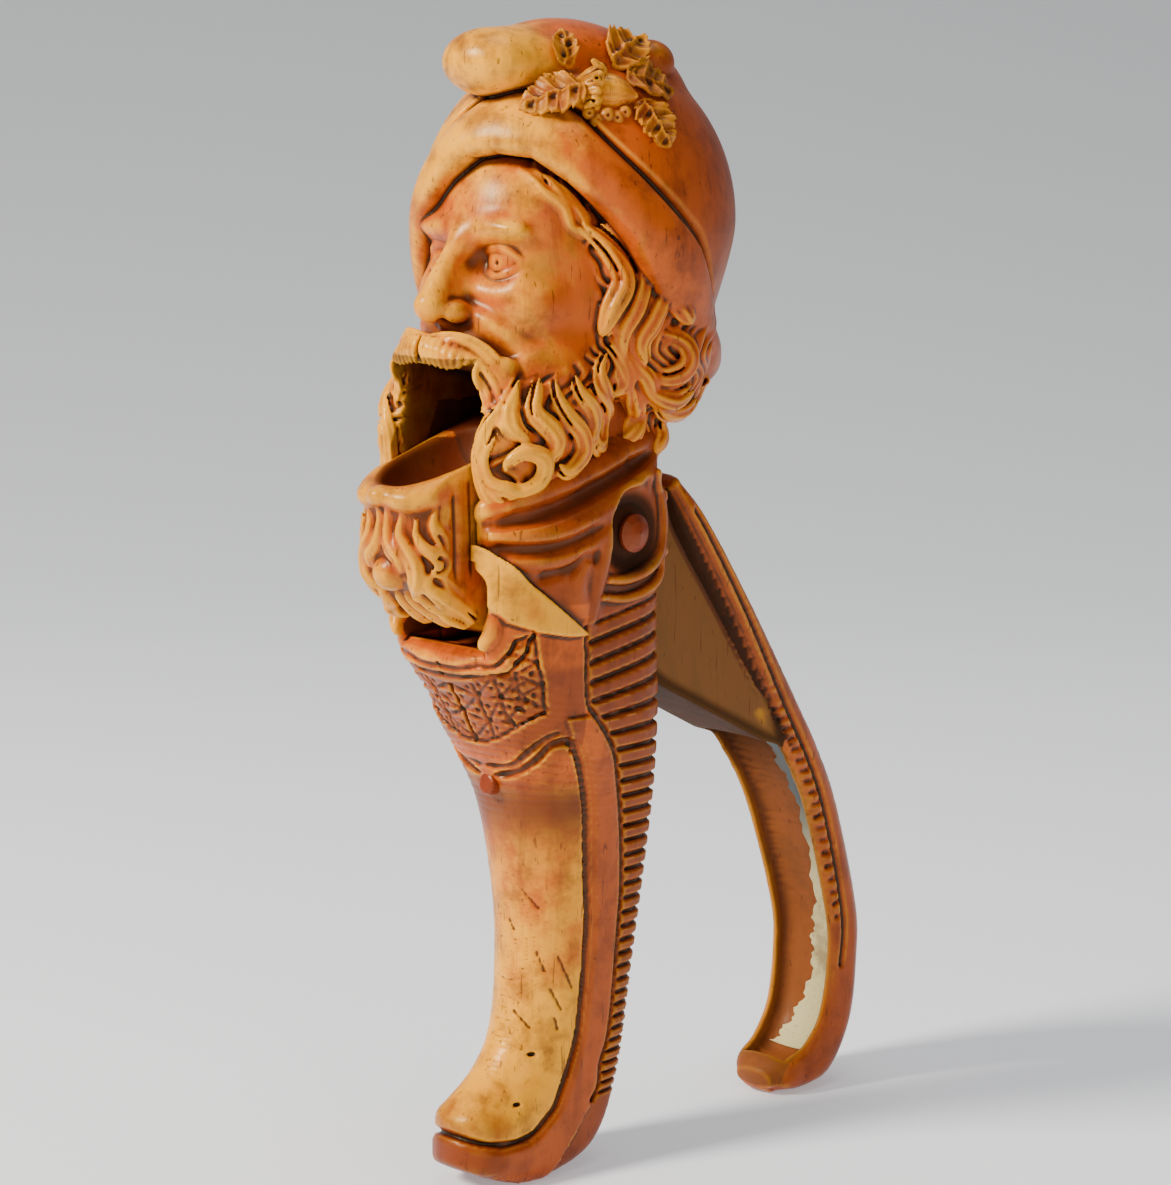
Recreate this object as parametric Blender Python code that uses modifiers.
"""A carved boxwood nutcracker: a bearded head in a folded cap above a slotted torso whose coat runs down
into the front handle, and a lever through the slot that is the lower jaw in front and the rear handle
behind. Squeezing the handles together lifts the jaw and cracks the nut in the mouth.

Frame: +Z up, the face looks along -Y, X is the pivot's direction, and both handle ends stand on z = 0.
The sizes below are in millimetres, and side views are given as (y, z). They become metres as the meshes
are made. The lever is drawn as it stands, with the mouth open."""

import math

import bmesh
import bpy
from mathutils import Matrix, Vector

MM = 0.001

# Driving dimensions
PIVOT = Vector((0.0, -16.0, 114.7))
CLOSING_ANGLE = math.radians(26)  # from how it stands until the lips meet
OPENING_ANGLE = math.radians(6)  # from how it stands until the jaw fills the pocket
GAP = 0.3  # between pieces that rest on each other
SLOT_CLEARANCE = 0.6  # between the lever and the slot it swings in
TONGUE_HALF_WIDTH = 9.0
PIN_RADIUS = 2.5
PIN_HEAD_RADIUS = 3.3
PIN_HEAD_HEIGHT = 2.0
BOSS_X = 16.9  # the flat on each side of the torso where the pin ends
MOUTH_TOP_ANGLE = math.radians(139)  # seen from the pivot, to the upper lip
POCKET_ANGLE = math.radians(213)  # seen from the pivot, to the bottom of the pocket's rim
OUTSIDE = 64.0  # from the pivot to a point in front of the torso
FOOT_FLAT = 0.35  # how much is worn off each foot where it stands
BUTTON_RADIUS = 1.9
NUT_RADII = (4.4, 4.4, 5.2)
PAPER_THICKNESS = 0.4

# Body sections from toe to neck: front point, back point, half width, squareness of the front
BODY_SECTIONS = [
    ((-47.0, 10.4), (-45.4, 6.6), 4.0, 0.9),
    ((-45.4, 13.4), (-40.5, 3.4), 6.3, 0.9),
    ((-40.1, 16.8), (-31.0, -0.2), 7.5, 0.9),
    ((-35.1, 20.6), (-22.6, -0.2), 8.0, 0.9),
    ((-31.6, 26.0), (-13.5, 3.5), 8.3, 0.9),
    ((-29.9, 34.0), (-8.2, 15.0), 8.7, 0.9),
    ((-29.5, 46.0), (-4.6, 36.0), 9.4, 0.9),
    ((-30.4, 58.0), (-2.6, 54.0), 11.0, 0.85),
    ((-32.2, 68.0), (-2.0, 68.0), 12.9, 0.8),
    ((-36.0, 76.5), (-2.6, 79.0), 14.8, 0.7),
    ((-41.0, 86.0), (-3.2, 89.0), 15.9, 0.6),
    ((-45.8, 94.0), (-3.6, 98.0), 16.4, 0.5),
    ((-47.4, 104.0), (-3.8, 107.0), 16.8, 0.5),
    ((-46.6, 116.0), (-4.0, 116.0), 17.2, 0.5),
    ((-44.5, 124.0), (-4.6, 122.6), 16.6, 0.55),
    ((-43.0, 131.0), (-3.6, 129.0), 14.4, 0.6),
    ((-39.5, 141.0), (-2.0, 139.0), 13.6, 0.6),
]
# Rear handle sections from the shoulder to its toe: inner point, outer point, half width
HANDLE_SECTIONS = [
    ((-0.8, 119.0), (4.0, 121.6), 11.2),
    ((1.6, 112.0), (10.4, 114.8), 12.6),
    ((12.4, 96.0), (22.8, 98.8), 11.8),
    ((25.2, 76.0), (37.8, 78.0), 10.2),
    ((33.0, 66.0), (44.8, 67.4), 9.4),
    ((39.6, 54.7), (50.9, 55.5), 8.8),
    ((46.4, 34.0), (57.5, 35.0), 8.3),
    ((47.1, 24.0), (58.1, 24.0), 8.2),
    ((45.4, 14.8), (56.6, 11.4), 8.0),
    ((41.6, 9.6), (51.0, 1.8), 7.6),
    ((38.4, 7.6), (43.4, -0.3), 6.8),
    ((36.2, 5.9), (38.2, 1.4), 4.0),
]
# The jaw, the hub round the pin and the tongue that joins them to the rear handle, in side view
LEVER_OUTLINE = [
    (-53.6, 129.0),
    (-24.0, 135.6),
    (-17.0, 133.2),
    (-9.6, 127.0),
    (-3.6, 121.0),
    (1.0, 118.0),
    (6.0, 112.5),
    (17.0, 97.0),
    (29.6, 77.0),
    (32.0, 69.0),
    (26.9, 70.8),
    (1.0, 84.2),
    (-11.0, 92.4),
    (-23.0, 97.0),
    (-36.0, 97.6),
    (-45.0, 100.8),
    (-52.0, 105.4),
    (-56.6, 109.6),
    (-57.8, 114.0),
    (-57.2, 119.6),
    (-58.0, 124.6),
    (-56.4, 128.0),
]
BASIN = ((-41.5, 131.5), (7.2, 13.5, 9.0))  # the hollow of the jaw that holds the nut: centre, radii

WOODS = {  # colour, roughness
    "boxwood": ((0.62, 0.26, 0.06), 0.38),
    "fruitwood": ((0.40, 0.10, 0.04), 0.35),
    "nut_wood": ((0.74, 0.36, 0.08), 0.30),
    "leaf_wood": ((0.42, 0.17, 0.06), 0.50),
    "old_paper": ((0.72, 0.68, 0.50), 0.85),
}


def clear_scene():
    for obj in list(bpy.data.objects):
        bpy.data.objects.remove(obj, do_unlink=True)


def new_collection(name):
    made = bpy.data.collections.new(name)
    bpy.context.scene.collection.children.link(made)
    return made


def wood_material(name):
    """One Principled material for each kind of wood, and one for the paper."""
    found = bpy.data.materials.get(name)
    if found:
        return found
    colour, roughness = WOODS[name]
    made = bpy.data.materials.new(name)
    made.use_nodes = True
    shader = made.node_tree.nodes["Principled BSDF"]
    shader.inputs["Base Color"].default_value = (*colour, 1.0)
    shader.inputs["Roughness"].default_value = roughness
    shader.inputs["Metallic"].default_value = 0.0
    return made


def add_object(name, mesh, into, wood="boxwood", origin=(0, 0, 0)):
    """Links a mesh whose points are in the world, in millimetres, as an object with its origin there."""
    mesh.transform(Matrix.Scale(MM, 4) @ Matrix.Translation(-Vector(origin)))
    mesh.shade_smooth()
    mesh.set_sharp_from_angle(angle=math.radians(40))
    mesh.materials.append(wood_material(wood))
    obj = bpy.data.objects.new(name, mesh)
    obj.location = Vector(origin) * MM
    into.objects.link(obj)
    if into.name == "helpers":
        obj.hide_render = True
        obj.display_type = "WIRE"
    return obj


def mesh_from(name, build):
    """A mesh filled by build(bm), with its normals facing out."""
    bm = bmesh.new()
    build(bm)
    bmesh.ops.recalc_face_normals(bm, faces=bm.faces)
    mesh = bpy.data.meshes.new(name)
    bm.to_mesh(mesh)
    bm.free()
    return mesh


def ellipsoid(name, centre, radii, into, tilt=0.0, turn=0.0, detail=18, wood="boxwood", origin=(0, 0, 0)):
    """A scaled sphere, turned about Z and then leaned about X, both in degrees."""

    def build(bm):
        bmesh.ops.create_uvsphere(bm, u_segments=detail, v_segments=detail * 2 // 3, radius=1.0)
        lean = Matrix.Rotation(math.radians(tilt), 4, "X") @ Matrix.Rotation(math.radians(turn), 4, "Z")
        place = Matrix.Translation(centre) @ lean @ Matrix.Diagonal((*radii, 1.0))
        bmesh.ops.transform(bm, verts=bm.verts, matrix=place)

    return add_object(name, mesh_from(name, build), into, wood, origin)


def cylinder(name, start, end, radius, into, steps=24, wood="boxwood", origin=(0, 0, 0), end_radius=None):
    """A round bar between two points, which may taper."""
    start, end = Vector(start), Vector(end)

    def build(bm):
        bmesh.ops.create_cone(
            bm,
            cap_ends=True,
            segments=steps,
            radius1=radius,
            radius2=radius if end_radius is None else end_radius,
            depth=(end - start).length,
        )
        aim = (end - start).to_track_quat("Z", "Y").to_matrix().to_4x4()
        bmesh.ops.transform(bm, verts=bm.verts, matrix=Matrix.Translation((start + end) / 2) @ aim)

    return add_object(name, mesh_from(name, build), into, wood, origin)


def roll(name, centre, radii, tube, into, tilt):
    """A torus stretched to an oval and leaned about X."""
    bpy.ops.mesh.primitive_torus_add(major_radius=1.0, minor_radius=0.2, major_segments=30, minor_segments=10)
    torus = bpy.context.object
    mesh = torus.data.copy()
    bpy.data.objects.remove(torus, do_unlink=True)
    lean = Matrix.Translation(centre) @ Matrix.Rotation(math.radians(tilt), 4, "X")
    mesh.transform(lean @ Matrix.Diagonal((radii[0], radii[1], tube / 0.2, 1.0)))
    return add_object(name, mesh, into)


def section_points(front, back, half_width, square_front, square_back, sides):
    """A section across X between two points, as a superellipse with its own squareness at each end."""
    front, back = Vector((0, *front)), Vector((0, *back))
    middle, reach = (front + back) / 2, (back - front) / 2
    points = []
    for k in range(sides):
        around = 2 * math.pi * (k + 0.5) / sides
        c, s = math.cos(around), math.sin(around)
        power = square_back if c > 0 else square_front
        along = math.copysign(abs(c) ** power, c)
        across = math.copysign(abs(s) ** (0.4 + 0.6 * power), s)
        points.append(middle + reach * along + Vector((half_width * across, 0, 0)))
    return points


def loft(name, sections, into, square_back, sides=20, wood="boxwood", origin=(0, 0, 0)):
    """A skin over a row of unlike sections (front, back, half width, squareness), closed at both ends."""

    def build(bm):
        rows = [
            [bm.verts.new(p) for p in section_points(front, back, width, square, square_back, sides)]
            for front, back, width, square in sections
        ]
        for here, there in zip(rows, rows[1:]):
            for k in range(sides):
                bm.faces.new((here[k], here[(k + 1) % sides], there[(k + 1) % sides], there[k]))
        bm.faces.new(rows[0])
        bm.faces.new(rows[-1])

    return add_object(name, mesh_from(name, build), into, wood, origin)


def plate(name, outline, half_width, into, wood="boxwood", origin=(0, 0, 0)):
    """A flat outline in side view, drawn as a 2D curve and extruded to both sides along X."""
    curve = bpy.data.curves.new(name, "CURVE")
    curve.dimensions = "2D"
    curve.fill_mode = "BOTH"
    curve.extrude = half_width
    spline = curve.splines.new("POLY")
    spline.points.add(len(outline) - 1)
    for point, (y, z) in zip(spline.points, outline):
        point.co = (y, z, 0.0, 1.0)
    spline.use_cyclic_u = True
    drawn = bpy.data.objects.new(name + "_outline", curve)
    bpy.context.scene.collection.objects.link(drawn)
    graph = bpy.context.evaluated_depsgraph_get()
    mesh = bpy.data.meshes.new_from_object(drawn.evaluated_get(graph))
    bpy.data.objects.remove(drawn, do_unlink=True)
    # The curve's own X, Y and Z become Y, Z and X.
    mesh.transform(Matrix(((0, 0, 1, 0), (1, 0, 0, 0), (0, 1, 0, 0), (0, 0, 0, 1))))
    bm = bmesh.new()
    bm.from_mesh(mesh)
    bmesh.ops.remove_doubles(bm, verts=bm.verts, dist=0.001)
    bmesh.ops.recalc_face_normals(bm, faces=bm.faces)
    bm.to_mesh(mesh)
    bm.free()
    return add_object(name, mesh, into, wood, origin)


def boolean(target, operation, *others):
    """MANIFOLD, because EXACT loses the body when the slot crosses its many curved masses."""
    for other in others:
        modifier = target.modifiers.new(f"{operation.lower()}_{other.name}", "BOOLEAN")
        modifier.operation = operation
        modifier.object = other
        modifier.solver = "MANIFOLD"


def cut_flat_below(target, height, helpers):
    """Takes off everything under this height, which leaves the foot a flat to stand on."""
    box = plate(f"{target.name}_ground", [(-90, -9), (90, -9), (90, height), (-90, height)], 30, helpers)
    boolean(target, "DIFFERENCE", box)


def reach_at(outline, angle):
    """How far the outline reaches from the pivot in one direction of the side view."""
    direction = Vector((math.cos(angle), math.sin(angle)))
    centre = PIVOT.yz
    furthest = 0.0
    for a, b in zip(outline, outline[1:] + outline[:1]):
        a, side = Vector(a) - centre, Vector(b) - Vector(a)
        across = direction.cross(side)
        if abs(across) < 1e-9:
            continue
        distance = a.cross(side) / across
        share = a.cross(direction) / across
        if distance > 0 and -1e-9 <= share <= 1 + 1e-9:
            furthest = max(furthest, distance)
    return furthest


def swept_outline(steps=72, samples=16):
    """All that the lever's outline passes over from closed to fully open, with clearance, seen from the
    side. It is open to the front between the upper lip and the pocket."""
    swing = CLOSING_ANGLE + OPENING_ANGLE
    outline = []
    for k in range(steps):
        angle = 2 * math.pi * k / steps
        back_turns = [CLOSING_ANGLE - swing * i / samples for i in range(samples + 1)]
        reach = max(reach_at(LEVER_OUTLINE, angle + turn) for turn in back_turns) + SLOT_CLEARANCE
        if MOUTH_TOP_ANGLE < angle < POCKET_ANGLE:
            reach = OUTSIDE
        outline.append((PIVOT.y + reach * math.cos(angle), PIVOT.z + reach * math.sin(angle)))
    return outline


def cap_masses(helpers, spare=0.0):
    """The soft cap: its crown, its rolled brim and the peak folded forward over the top."""
    grown = f"_{spare:g}" if spare else ""
    crown_radii = [r + spare for r in (24.4, 28.4, 24.0)]
    fold_radii = [r + spare for r in (10.5, 17.0, 7.6)]
    return [
        ellipsoid(f"cap_crown{grown}", (0, -10.0, 172.0), crown_radii, helpers, tilt=-10, detail=24),
        ellipsoid(f"cap_peak{grown}", (0, -22.0, 192.4), fold_radii, helpers, detail=20),
        roll(f"cap_brim{grown}", (0, -13.0, 162.0), (20.6, 26.0), 5.2 + spare, helpers, tilt=-36),
    ]


def make_body(parts, helpers):
    """The head, the torso and the front handle, which are one carving."""
    body = loft("body_carving", BODY_SECTIONS, parts, square_back=0.35)
    masses = cap_masses(helpers)
    masses += [
        ellipsoid("head", (0, -17.0, 156.0), (18.5, 24.0, 25.0), helpers),
        ellipsoid("nose", (0, -42.5, 154.5), (3.6, 8.0, 5.6), helpers, tilt=24, detail=12),
        ellipsoid("moustache", (0, -39.0, 146.8), (12.0, 8.0, 4.0), helpers, detail=16),
        ellipsoid("nape_hair", (0, -5.0, 142.0), (16.0, 15.0, 12.0), helpers, detail=16),
    ]
    for side, sign in (("left", 1), ("right", -1)):
        masses += [
            ellipsoid(f"hair_{side}", (14.5 * sign, -7.0, 148.0), (8, 12, 15), helpers, detail=14),
            ellipsoid(f"beard_{side}", (12.5 * sign, -34.0, 131.0), (6.0, 11.5, 13), helpers, detail=14),
            ellipsoid(f"collar_{side}", (10.2 * sign, -27, 115), (8.2, 20, 9.5), helpers, tilt=-18, detail=14),
        ]
    boolean(body, "UNION", *masses)
    slot = plate("slot", swept_outline(), TONGUE_HALF_WIDTH + SLOT_CLEARANCE, helpers)
    bore = cylinder("pin_bore", (-30, *PIVOT.yz), (30, *PIVOT.yz), PIN_RADIUS + GAP, helpers)
    boolean(body, "DIFFERENCE", slot, bore)
    for side, sign in (("left", 1), ("right", -1)):
        flat = cylinder(
            f"boss_flat_{side}",
            (BOSS_X * sign, *PIVOT.yz),
            (24 * sign, *PIVOT.yz),
            5.2,
            helpers,
        )
        boolean(body, "DIFFERENCE", flat)
    cut_flat_below(body, 0.0, helpers)
    return body


def make_lever(parts, helpers):
    """The jaw, the hub, the tongue and the rear handle, which are one carving that turns on the pin."""
    sections = [(*section, 0.35) for section in HANDLE_SECTIONS]
    lever = loft("lever_carving", sections, parts, square_back=0.75, origin=PIVOT)
    tongue = plate("jaw_and_tongue", LEVER_OUTLINE, TONGUE_HALF_WIDTH, helpers)
    boolean(lever, "UNION", tongue)
    channel = loft("handle_channel", channel_sections(), helpers, square_back=0.6, sides=16)
    basin = ellipsoid("basin", (0, *BASIN[0]), BASIN[1], helpers, tilt=-12, detail=18)
    bore = cylinder("hub_bore", (-12, *PIVOT.yz), (12, *PIVOT.yz), PIN_RADIUS + GAP, helpers)
    boolean(lever, "DIFFERENCE", channel, basin, bore)
    cut_flat_below(lever, 0.0, helpers)
    return lever


def channel_sections():
    """The hollow along the rear handle's inner side, which leaves two rims and a floor."""
    rim, floor, proud = 2.4, 3.4, 2.0
    sections = []
    for inner, outer, width in HANDLE_SECTIONS[4:10]:
        a, b = Vector(inner), Vector(outer)
        across = (b - a).normalized()
        sections.append((tuple(a - across * proud), tuple(b - across * floor), width - rim, 0.35))
    return sections


def make_label(parts):
    """What is left of a paper label, on the floor of the rear handle's channel."""
    sections = []
    for inner, outer, width in HANDLE_SECTIONS[5:9]:
        a, b = Vector(inner), Vector(outer)
        across = (b - a).normalized()
        back = b - across * (3.4 + 2 * GAP)
        sections.append((tuple(back - across * PAPER_THICKNESS), tuple(back), width - 5.2, 0.2))
    loft("paper_label", sections, parts, square_back=0.2, sides=8, wood="old_paper", origin=PIVOT)


def turned_along_x(name, profile, parts, sign):
    """A profile of (height, radius) points turned on a Screw, with its axis laid along X."""
    bm = bmesh.new()
    verts = [bm.verts.new((radius * MM, 0, height * MM)) for height, radius in reversed(profile)]
    for a, b in zip(verts, verts[1:]):
        bm.edges.new((a, b))
    mesh = bpy.data.meshes.new(name)
    bm.to_mesh(mesh)
    bm.free()
    mesh.materials.append(wood_material("fruitwood"))
    obj = bpy.data.objects.new(name, mesh)
    obj.location = PIVOT * MM
    obj.rotation_euler.y = math.radians(90 * sign)
    parts.objects.link(obj)
    screw = obj.modifiers.new("turn", "SCREW")
    screw.steps = 24
    screw.render_steps = 24
    screw.use_merge_vertices = True
    screw.merge_threshold = 0.00001
    return obj


def make_pivot(parts):
    """The pin with its domed head on the left side, and the domed cap glued over its other end."""
    seat, top = BOSS_X + GAP, BOSS_X + GAP + PIN_HEAD_HEIGHT
    inner_end = 12.0
    dome = [
        (seat, PIN_RADIUS),
        (seat, PIN_HEAD_RADIUS),
        (seat + 0.6, PIN_HEAD_RADIUS),
        (top - 0.5, PIN_HEAD_RADIUS * 0.66),
        (top, 0),
    ]
    turned_along_x("pivot_pin", [(-inner_end, 0), (-inner_end, PIN_RADIUS), *dome], parts, 1)
    start = inner_end + GAP
    turned_along_x("pin_cap", [(start, 0), (start, PIN_RADIUS), *dome], parts, -1)


def make_button(parts, helpers, body):
    """The round peg below the waistcoat, set in a hole in the front handle."""
    inside, outside = Vector((0, -27.0, 70.0)), Vector((0, -34.6, 71.2))
    hole = cylinder("button_hole", inside, outside + Vector((0, -6, 1)), BUTTON_RADIUS + GAP, helpers, steps=16)
    boolean(body, "DIFFERENCE", hole)
    peg_start = inside + (outside - inside).normalized() * GAP
    button = cylinder("button_peg", peg_start, outside, BUTTON_RADIUS, parts, steps=16, wood="fruitwood")
    bevel = button.modifiers.new("rounded", "BEVEL")
    bevel.width = 0.5 * MM
    bevel.segments = 2
    bevel.limit_method = "ANGLE"


def leaf(name, centre, radii, facing, turn, parts, clear_of):
    """A flattened leaf that lies on the cap, with everything it would cross cut away."""
    outward = Vector(facing).normalized()
    aim = outward.to_track_quat("Z", "Y").to_matrix().to_4x4() @ Matrix.Rotation(math.radians(turn), 4, "Z")

    def build(bm):
        bmesh.ops.create_uvsphere(bm, u_segments=16, v_segments=8, radius=1.0)
        for vert in bm.verts:
            vert.co.y *= 1.0 - 0.45 * vert.co.x  # a leaf is wide at its stalk and comes to a point
        place = Matrix.Translation(centre) @ aim @ Matrix.Diagonal((*radii, 1.0))
        bmesh.ops.transform(bm, verts=bm.verts, matrix=place)

    made = add_object(name, mesh_from(name, build), parts, "leaf_wood")
    boolean(made, "DIFFERENCE", *clear_of)


def make_sprig(parts, helpers):
    """A hazelnut in its husk with four leaves and a catkin, applied to the left of the cap's top."""
    cap = cap_masses(helpers, spare=GAP)
    nut_centre, husk_centre = Vector((13.8, -17.6, 190.6)), Vector((12.6, -14.2, 191.2))
    lean = {"tilt": 60, "turn": 0, "detail": 16}
    nut = ellipsoid("hazelnut", nut_centre, NUT_RADII, parts, wood="nut_wood", **lean)
    nut_room = ellipsoid("nut_room", nut_centre, [r + GAP for r in NUT_RADII], helpers, **lean)
    husk = ellipsoid("nut_husk", husk_centre, (5.6, 5.0, 5.2), parts, wood="leaf_wood", **lean)
    husk_room = ellipsoid("husk_room", husk_centre, (5.9, 5.3, 5.5), helpers, **lean)
    boolean(nut, "DIFFERENCE", *cap)
    boolean(husk, "DIFFERENCE", *cap, nut_room)
    taken = [*cap, nut_room, husk_room]
    leaf("leaf_front", (10.6, -28.6, 188.6), (7.0, 5.2, 1.6), (0.62, -0.30, 0.72), 200, parts, taken)
    leaf("leaf_top", (8.2, -13.6, 195.8), (6.0, 3.6, 1.5), (0.35, 0.10, 0.93), 120, parts, taken)
    leaf("leaf_back", (14.4, -7.0, 190.4), (6.0, 4.2, 1.6), (0.50, 0.30, 0.80), 60, parts, taken)
    leaf("leaf_side", (21.6, -12.6, 182.2), (6.0, 4.6, 1.6), (0.86, -0.02, 0.51), -40, parts, taken)
    catkin_at = (17.8, -21.4, 185.2)
    catkin = ellipsoid("catkin", catkin_at, (2.2, 2.2, 3.2), parts, tilt=20, detail=12, wood="leaf_wood")
    boolean(catkin, "DIFFERENCE", *taken)


def main():
    clear_scene()
    parts = new_collection("nutcracker")
    helpers = new_collection("helpers")
    body = make_body(parts, helpers)
    make_button(parts, helpers, body)
    make_lever(parts, helpers)
    make_label(parts)
    make_pivot(parts)
    make_sprig(parts, helpers)


main()
